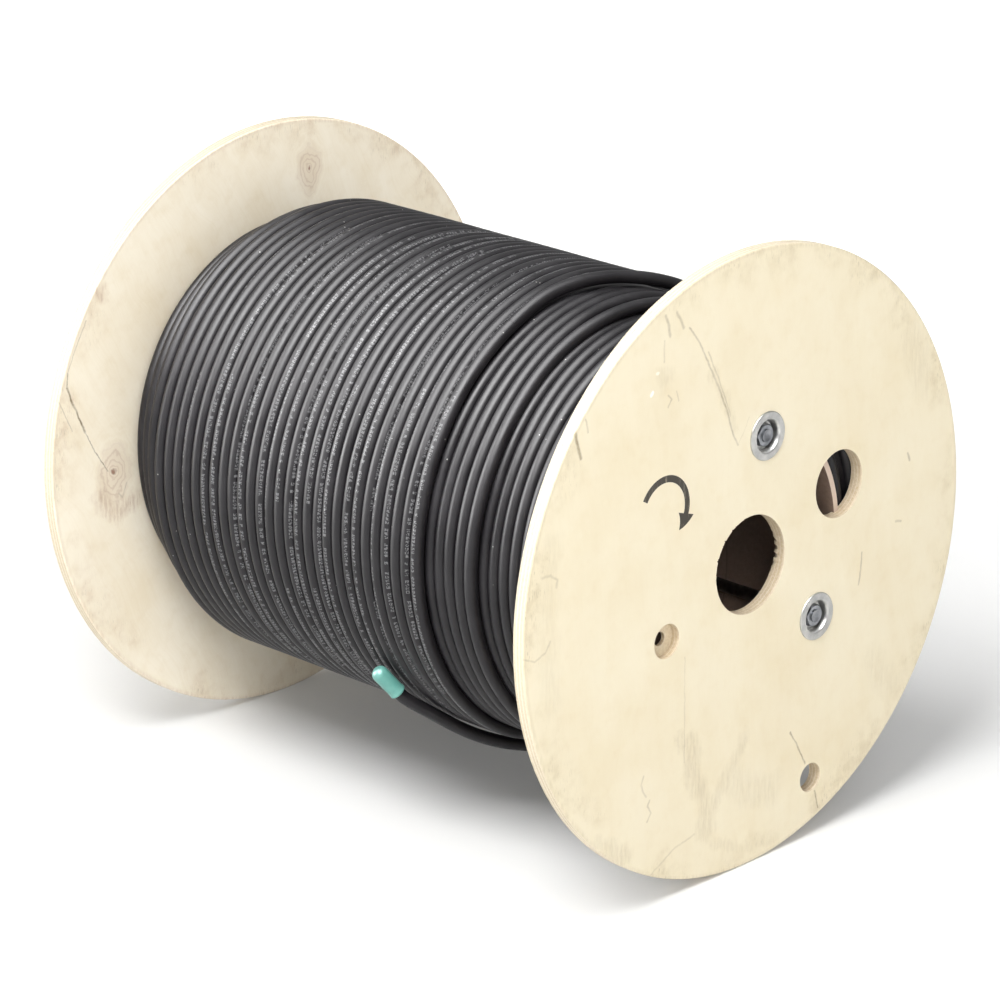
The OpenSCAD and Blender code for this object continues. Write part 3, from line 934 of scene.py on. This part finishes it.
    # The face turns grey toward the very edge, in places
    border = add(tree, "MapRange", {0: radius, 1: rim_r - 3.5, 2: rim_r - 0.5, 3: 0.0, 4: 0.5})
    border = add(tree, "Math", {0: border, 1: broken}, operation="MULTIPLY")
    handled = add(tree, "Math", {0: handled, 1: border}, operation="MAXIMUM")
    dirt = add(tree, "Math", {0: handled, 1: smear}, operation="MAXIMUM")
    line = add(tree, "Math", {0: line, 1: torn}, operation="MAXIMUM")
    for mark, tint in ((dirt, smear_colour), (line, wood.scratch)):
        shown = add(tree, "Math", {0: mark, 1: shown_side}, operation="MULTIPLY")
        colour = add(tree, "Mix", {0: shown, 6: colour, 7: tint}, data_type="RGBA").outputs[2]

    # Sawn edge: plies of equal thickness, pale and dark in turn, with thin glue lines
    inner = INNER_X / MM
    outer = OUTER_X / MM
    depth = add(tree, "SeparateXYZ", {0: place})
    depth = add(tree, "Math", {0: depth.outputs[0]}, operation="ABSOLUTE")
    ply = add(tree, "MapRange", {0: depth, 1: inner, 2: outer, 3: 0.0, 4: float(wood.plies)})
    crumble = add(tree, "TexNoise", {"Vector": place, "Scale": 1 / 5, "Detail": 4.0})
    ply = add(tree, "Math", {0: crumble, 1: 0.35, 2: ply}, operation="MULTIPLY_ADD")
    odd = add(tree, "Math", {0: ply, 1: 0.5}, operation="MULTIPLY")
    odd = add(tree, "Math", {0: odd}, operation="FRACT")
    cross = add(tree, "MapRange", {0: odd, 1: 0.47, 2: 0.53, 3: 0.0, 4: 1.0})
    pores = add(tree, "TexNoise", {"Vector": place, "Scale": 1 / 1.5, "Detail": 4.0, "Roughness": 0.7})
    pore = add(tree, "MapRange", {0: pores, 1: 0.35, 2: 0.7, 3: 0.35, 4: 1.0})
    cross = add(tree, "Math", {0: cross, 1: pore}, operation="MULTIPLY")
    gap = add(tree, "Math", {0: ply}, operation="FRACT")
    gap = add(tree, "Math", {0: gap, 1: 0.5}, operation="SUBTRACT")
    gap = add(tree, "Math", {0: gap}, operation="ABSOLUTE")
    gap = add(tree, "MapRange", {0: gap, 1: 0.4, 2: 0.48, 3: 0.0, 4: 0.85})
    gap = add(tree, "Math", {0: gap, 1: pore}, operation="MULTIPLY")
    # Painted shade on the walls of the holes, browner than the sanded rim
    hole_shade = add(tree, "MapRange", {0: radius, 1: rim_r - 9, 2: rim_r - 6, 3: 0.6, 4: 0.0})
    hole_shade = add(tree, "Math", {0: hole_shade, 1: pore}, operation="MULTIPLY")
    edge = wood.ply_pale
    for share, tint in ((cross, wood.ply_dark), (gap, wood.glue_line), (hole_shade, wood.hole_shade)):
        edge = add(tree, "Mix", {0: share, 6: edge, 7: tint}, data_type="RGBA").outputs[2]
    # Painted shade also on the floors of the counterbores, half a millimetre and more below the outer face
    counterbore_shade = add(tree, "MapRange", {0: depth, 1: outer - 1, 2: outer - 0.5, 3: 0.6, 4: 0.0})
    outward = add(tree, "Math", {0: facing.outputs[0], 1: outer_sign}, operation="MULTIPLY")
    outward = add(tree, "Math", {0: outward, 1: 0.5}, operation="GREATER_THAN")
    for mask in (outward, pore):
        counterbore_shade = add(tree, "Math", {0: counterbore_shade, 1: mask}, operation="MULTIPLY")
    for share, tint in ((is_edge, edge), (counterbore_shade, wood.hole_shade)):
        colour = add(tree, "Mix", {0: share, 6: colour, 7: tint}, data_type="RGBA").outputs[2]

    if spots:
        # Chalky spots, on the printed side only
        chalk = lines_mask(tree, shaken, spots, 0.3)
        chalk = add(tree, "Math", {0: chalk, 1: shown_side}, operation="MULTIPLY")
        colour = add(tree, "Mix", {0: chalk, 6: colour, 7: wood.chalk}, data_type="RGBA").outputs[2]
        # Printed arrow that shows which way the reel rolls: a ring segment with a triangular head
        arrow_at = (0, -79, 55)
        arrow_r = 20.0
        half_shaft = 2.2
        half_head = 7.0
        middle = add(tree, "VectorMath", {0: flat, 1: arrow_at}, operation="SUBTRACT")
        ring = add(tree, "VectorMath", {0: middle}, operation="LENGTH")
        side = add(tree, "SeparateXYZ", {0: middle})
        turn = add(tree, "Math", {0: side.outputs[2], 1: side.outputs[1]}, operation="ARCTAN2")
        apart = add(tree, "Math", {0: ring.outputs["Value"], 1: arrow_r}, operation="SUBTRACT")
        apart = add(tree, "Math", {0: apart}, operation="ABSOLUTE")
        tip, neck, tail = (math.radians(angle) for angle in (-50, -18, 150))
        widths = add(tree, "MapRange", {0: turn, 1: tip, 2: neck, 3: 0.0, 4: half_head})
        is_head = add(tree, "Math", {0: turn, 1: neck}, operation="LESS_THAN")
        half = add(tree, "Mix", {0: is_head, 2: half_shaft, 3: widths})
        ink = add(tree, "Math", {0: apart, 1: half}, operation="LESS_THAN")
        begin = add(tree, "Math", {0: turn, 1: tip}, operation="GREATER_THAN")
        end = add(tree, "Math", {0: turn, 1: tail}, operation="LESS_THAN")
        thin = add(tree, "MapRange", {0: streaks, 1: 0.3, 2: 0.45, 3: 0.75, 4: 0.97})
        for part in (begin, end, thin, shown_side):
            ink = add(tree, "Math", {0: ink, 1: part}, operation="MULTIPLY")
        colour = add(tree, "Mix", {0: ink, 6: colour, 7: wood.ink}, data_type="RGBA").outputs[2]

    # Open pores of the veneer and the rougher sawn edge
    relief = add(tree, "Math", {0: fine, 1: 0.6}, operation="MULTIPLY")
    rough_edge = add(tree, "Math", {0: pores, 1: is_edge}, operation="MULTIPLY")
    relief = add(tree, "Math", {0: rough_edge, 1: 1.5, 2: relief}, operation="MULTIPLY_ADD")
    bump = add(tree, "Bump", {"Strength": 0.25, "Distance": 0.25 * MM, "Height": relief})
    dull = add(tree, "MapRange", {0: clouds, 1: 0.3, 2: 0.7, 3: 0.5, 4: 0.66})
    feed(tree, shader, {
        "Base Color": colour, "Normal": bump, "Roughness": dull, "IOR": 1.5, "Specular IOR Level": 0.35})
    return material


class REEL_OT_flanges(bpy.types.Operator):
    """Finish both plywood flanges, with the torn edge of the arbor hole."""

    bl_idname = "reel.flanges"
    bl_label = "Flanges"

    def execute(self, context):
        wood = context.scene.reel_wood
        arbor_r = 31.5 * MM
        looks = {
            "flange_near": plywood_material(
                "birch_plywood_smooth", wood, 1.0, wood.near_face, wood.near_cloud, (-80, 0.25),
                NEAR_LINES, NEAR_SMEARS, wood.dirt, spots=NEAR_SPOTS),
            "flange_far": plywood_material(
                "birch_plywood_knotty", wood, -1.0, wood.far_face, wood.far_grain, (-62, 0.4),
                FAR_LINES, FAR_SMEARS, wood.knot, knots=FAR_KNOTS),
        }

        # Reach of the torn plies, worst at the upper left, and of the worn inner edge, worst at the right
        def face_tear(degrees):
            strength = math.exp(-((degrees - 140) / 45) ** 2) + 0.2
            rough = math.sin(degrees * 0.83) + math.sin(degrees * 2.1 + 1) + math.sin(degrees * 0.31 + 2)
            return arbor_r + (strength * rough * 0.7 - 0.3) * MM

        def back_tear(degrees):
            worn = math.exp(-(((degrees + 180) % 360 - 178) / 24) ** 2)
            rough = 1 + 0.4 * math.sin(degrees * 0.7) + 0.3 * math.sin(degrees * 1.9 + 1)
            return arbor_r + (worn * rough * 1.9 - 0.25) * MM

        for node, material in looks.items():
            flange = new_piece(node + "_wood", rounded_copy(node, wood.edge_round, segments=2), material)
            sign = 1 if node == "flange_near" else -1
            cutters = [
                torn_edge_cutter("face_tear", face_tear, sign * OUTER_X, -sign * wood.chip_depth, arbor_r),
                torn_edge_cutter("back_tear", back_tear, sign * INNER_X, sign * wood.wear_depth, arbor_r),
            ]
            cut(flange, cutters)
            keep_flats(flange)
            finish_piece(flange, [node])
        return {"FINISHED"}


class REEL_OT_barrel(bpy.types.Operator):
    """Finish the barrel that the cable is wound on."""

    bl_idname = "reel.barrel"
    bl_label = "Barrel"

    def execute(self, context):
        wood = context.scene.reel_wood
        # Spiral-wound paper tube: matt brown liner with slanting seams, pale layered cut edge
        material, tree, shader, place = new_material("spiral_wound_paper")
        parts = add(tree, "SeparateXYZ", {0: place})
        up = add(tree, "Math", {0: parts.outputs[2], 1: -AXIS_Z / MM}, operation="ADD")
        turn = add(tree, "Math", {0: up, 1: parts.outputs[1]}, operation="ARCTAN2")
        # Strips of 110 mm, laid at one lead of 220 mm a turn
        slant = 220 / (2 * math.pi)
        lead = add(tree, "Math", {0: turn, 1: slant, 2: parts.outputs[0]}, operation="MULTIPLY_ADD")
        strip = add(tree, "Math", {0: lead, 1: 110.0}, operation="DIVIDE")
        strip = add(tree, "Math", {0: strip}, operation="FRACT")
        seam = add(tree, "MapRange", {0: strip, 1: 0.0, 2: 0.018, 3: 0.9, 4: 0.0})
        fibres = add(tree, "TexNoise", {"Vector": place, "Scale": 1 / 2.5, "Detail": 5.0, "Roughness": 0.7})
        shade = add(tree, "MapRange", {0: fibres, 1: 0.35, 2: 0.75, 3: 0.0, 4: 0.45})
        share = add(tree, "Math", {0: seam, 1: shade}, operation="MAXIMUM")
        facing = add(tree, "SeparateXYZ", {0: add(tree, "NewGeometry").outputs["True Normal"]})
        steep = add(tree, "Math", {0: facing.outputs[0]}, operation="ABSOLUTE")
        is_edge = add(tree, "Math", {0: steep, 1: 0.5}, operation="GREATER_THAN")
        colour = wood.tube
        for mask, tint in ((share, wood.tube_seam), (is_edge, wood.tube_edge)):
            colour = add(tree, "Mix", {0: mask, 6: colour, 7: tint}, data_type="RGBA").outputs[2]
        bump = add(tree, "Bump", {"Strength": 0.3, "Distance": 0.2 * MM, "Height": fibres})
        dull = add(tree, "MapRange", {0: fibres, 1: 0.3, 2: 0.7, 3: 0.75, 4: 0.9})
        feed(tree, shader, {"Base Color": colour, "Normal": bump, "Roughness": dull})
        barrel = new_piece("barrel_paper", rounded_copy("barrel", width=0.2 * MM, segments=1), material)
        keep_flats(barrel)
        finish_piece(barrel, ["barrel"])
        return {"FINISHED"}


# Steel


def zinc_material(name, zinc, dulled):
    """Zinc-plated steel: cool grey, satin, with dulled patches some 7 mm wide and fine pits."""
    material, tree, shader, place = new_material(name)
    patches = add(tree, "TexNoise", {"Vector": place, "Scale": 1 / 7, "Detail": 4.0, "Roughness": 0.6})
    dull = add(tree, "MapRange", {0: patches, 1: 0.38, 2: 0.68, 3: 0.0, 4: 1.0})
    colour = add(tree, "Mix", {0: dull, 6: zinc, 7: dulled}, data_type="RGBA").outputs[2]
    rough = add(tree, "MapRange", {0: patches, 1: 0.3, 2: 0.7, 3: 0.26, 4: 0.42})
    pits = add(tree, "TexNoise", {"Vector": place, "Scale": 1 / 0.7, "Detail": 3.0})
    bump = add(tree, "Bump", {"Strength": 0.2, "Distance": 0.08 * MM, "Height": pits})
    feed(tree, shader, {"Base Color": colour, "Roughness": rough, "Normal": bump, "Metallic": 1.0})
    return material


def centre_mark(mesh, radius, depth):
    """Sink the turning centre into the end of a bolt that faces +X."""
    floor_share = 0.6
    shape = bmesh.new()
    shape.from_mesh(mesh)
    end = max(shape.faces, key=lambda face: (round(face.calc_center_median().x, 5), face.calc_area()))
    wide = max((vertex.co - end.calc_center_median()).length for vertex in end.verts)
    bmesh.ops.inset_region(shape, faces=[end], thickness=wide - radius, use_even_offset=True)
    middle = end.calc_center_median()
    for vertex in end.verts:
        vertex.co = middle + (vertex.co - middle) * floor_share - Vector((depth, 0, 0))
    shape.to_mesh(mesh)
    shape.free()
    mesh.set_sharp_from_angle(angle=math.radians(50))


class REEL_OT_fasteners(bpy.types.Operator):
    """Finish the tie bolts, nuts and cup washers."""

    bl_idname = "reel.fasteners"
    bl_label = "Bolts, nuts and cup washers"

    def execute(self, context):
        steel = context.scene.reel_steel
        pressed = zinc_material("zinc_plated_pressed_steel", steel.zinc, steel.zinc_dull)
        turned = zinc_material("zinc_plated_turned_steel", steel.thread, steel.thread_dull)
        # Pressed sheet in millimetres from the face of the flange: rounded rim, rolled bead, drawn cup
        profile = [
            (15.5, 0.02), (15.5, 0.7), (15.3, 1.0), (14.9, 1.12), (13.2, 1.0), (12.4, 0.98), (11.9, 1.12),
            (11.4, 1.2), (10.9, 1.1), (10.5, 0.75), (10.2, 0.2), (9.9, -0.8), (9.6, -2.4), (9.5, -3.9),
            (9.2, -4.5), (8.6, -4.8), (4.7, -4.8), (4.55, -4.95), (4.55, -5.9), (4.65, -6), (9.9, -6),
            (10.45, -5.7), (10.65, -5), (10.65, -0.5), (10.9, -0.05), (11.4, 0.02)]
        for node in sorted(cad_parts):
            if node.startswith("cup_washer"):
                low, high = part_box(node)
                sign = 1 if low.x > 0 else -1
                middle = (sign * OUTER_X, (low.y + high.y) / 2, (low.z + high.z) / 2)
                turn = Matrix.Rotation(sign * math.pi / 2, 4, "Y")
                matrix = Matrix.Translation(middle) @ turn @ Matrix.Scale(MM, 4)
                mesh = lathe_mesh(node + "_steel", profile, matrix, segments=72)
                piece = new_piece(node + "_steel", mesh, pressed)
            elif node.startswith(("tie_bolt", "nut")):
                mesh = rounded_copy(node, steel.edge_round, segments=2)
                if node.startswith("tie_bolt"):
                    centre_mark(mesh, radius=1.8 * MM, depth=1.2 * MM)
                piece = new_piece(node + "_steel", mesh, turned)
                keep_flats(piece)
            else:
                continue
            finish_piece(piece, [node])
        return {"FINISHED"}


# Stage


class REEL_OT_stage(bpy.types.Operator):
    """Set the camera, a pale floor and soft light."""

    bl_idname = "reel.stage"
    bl_label = "Camera, floor and light"

    def execute(self, context):
        scene = context.scene
        stage = scene.reel_stage
        right = Vector(CAMERA_RIGHT)
        up = Vector(CAMERA_UP)
        back = right.cross(up)
        camera = bpy.data.objects.new("camera", bpy.data.cameras.new("camera"))
        turn = Matrix((right, up, back)).transposed().to_4x4()
        camera.matrix_world = Matrix.Translation(CAMERA_AT) @ turn
        camera.data.sensor_width = CAMERA_SENSOR
        camera.data.lens = CAMERA_LENS
        camera.data.clip_end = 50
        scene.collection.objects.link(camera)
        scene.camera = camera

        # Matt white paint: almost even, with a faint cloud some 400 mm wide
        material, tree, shader, place = new_material("matt_floor_paint_and_glow")
        clouds = add(tree, "TexNoise", {"Vector": place, "Scale": 1 / 400, "Detail": 2.0})
        share = add(tree, "MapRange", {0: clouds, 1: 0.3, 2: 0.7, 3: 0.0, 4: 0.04})
        tints = {6: stage.floor, 7: stage.floor_cloud}
        colour = add(tree, "Mix", {0: share, **tints}, data_type="RGBA").outputs[2]
        # It glows as painted light, faintly near the reel and fully from 1.4 m on
        away = add(tree, "VectorMath", {0: place}, operation="LENGTH")
        glow = add(tree, "MapRange", {0: away.outputs["Value"], 1: 400.0, 2: 1400.0, 3: 0.05, 4: stage.glow})
        feed(tree, shader, {
            "Base Color": colour, "Emission Strength": glow, "Emission Color": (1, 1, 1), "Roughness": 0.85})
        half = stage.floor_width / 2
        mesh = bpy.data.meshes.new("floor")
        corners = [(-half, -half, 0), (half, -half, 0), (half, half, 0), (-half, half, 0)]
        mesh.from_pydata(corners, [], [(0, 1, 2, 3)])
        new_piece("floor", mesh, material)

        world = bpy.data.worlds.new("white_room")
        world.use_nodes = True
        sky = world.node_tree.nodes["Background"]
        sky.inputs["Color"].default_value = (1, 1, 1, 1)
        sky.inputs["Strength"].default_value = stage.sky
        scene.world = world
        # Name, place, width, power, whether it lights matt faces and whether it is mirrored
        boxes = (
            ("key_light", (0.5, -1.35, 2.15), 1.1, stage.key_power, True, True),
            ("gloss_panel", (0, -0.9, 2.35), 2.9, stage.gloss_power, False, True),
            ("side_panel", (-2.1, -1.5, 0.65), 1.9, stage.side_power, False, True),
            ("fill_light", (2.3, -1.5, 1.7), 1.6, stage.fill_power, True, False),
        )
        for name, spot, width, power, lights_matt, mirrored in boxes:
            light = bpy.data.lights.new(name, "AREA")
            light.size = width
            light.energy = power
            obj = bpy.data.objects.new(name, light)
            obj.location = spot
            obj.visible_diffuse = lights_matt
            obj.visible_glossy = mirrored
            aim = Vector((0, 0, AXIS_Z)) - Vector(spot)
            obj.rotation_euler = aim.to_track_quat("-Z", "Y").to_euler()
            scene.collection.objects.link(obj)
        scene.view_settings.view_transform = "Standard"
        return {"FINISHED"}


class REEL_PT_panel(bpy.types.Panel):
    """Lists the pieces of the reel and their settings."""

    bl_idname = "REEL_PT_panel"
    bl_label = "Cable reel"
    bl_space_type = "VIEW_3D"
    bl_region_type = "UI"
    bl_category = "Reel"

    def draw(self, context):
        for operator in OPERATORS:
            self.layout.operator(operator.bl_idname)
        for name, group in GROUPS.items():
            box = self.layout.box()
            for key in group.__annotations__:
                box.prop(getattr(context.scene, name), key)


GROUPS = {
    "reel_cable": CableSettings,
    "reel_wood": WoodSettings,
    "reel_steel": SteelSettings,
    "reel_stage": StageSettings,
}
OPERATORS = (
    REEL_OT_stage,
    REEL_OT_free_end,
    REEL_OT_winding,
    REEL_OT_flanges,
    REEL_OT_barrel,
    REEL_OT_fasteners,
)


def register():
    for group in GROUPS.values():
        bpy.utils.register_class(group)
    for name, group in GROUPS.items():
        setattr(bpy.types.Scene, name, PointerProperty(type=group))
    for operator in OPERATORS:
        bpy.utils.register_class(operator)
    bpy.utils.register_class(REEL_PT_panel)


def unregister():
    bpy.utils.unregister_class(REEL_PT_panel)
    for operator in reversed(OPERATORS):
        bpy.utils.unregister_class(operator)
    for name, group in GROUPS.items():
        delattr(bpy.types.Scene, name)
        bpy.utils.unregister_class(group)


def main():
    """Build every piece."""
    register()
    bpy.ops.reel.stage()
    bpy.ops.reel.free_end()
    bpy.ops.reel.winding()
    bpy.ops.reel.flanges()
    bpy.ops.reel.barrel()
    bpy.ops.reel.fasteners()


if __name__ == "__main__":
    main()
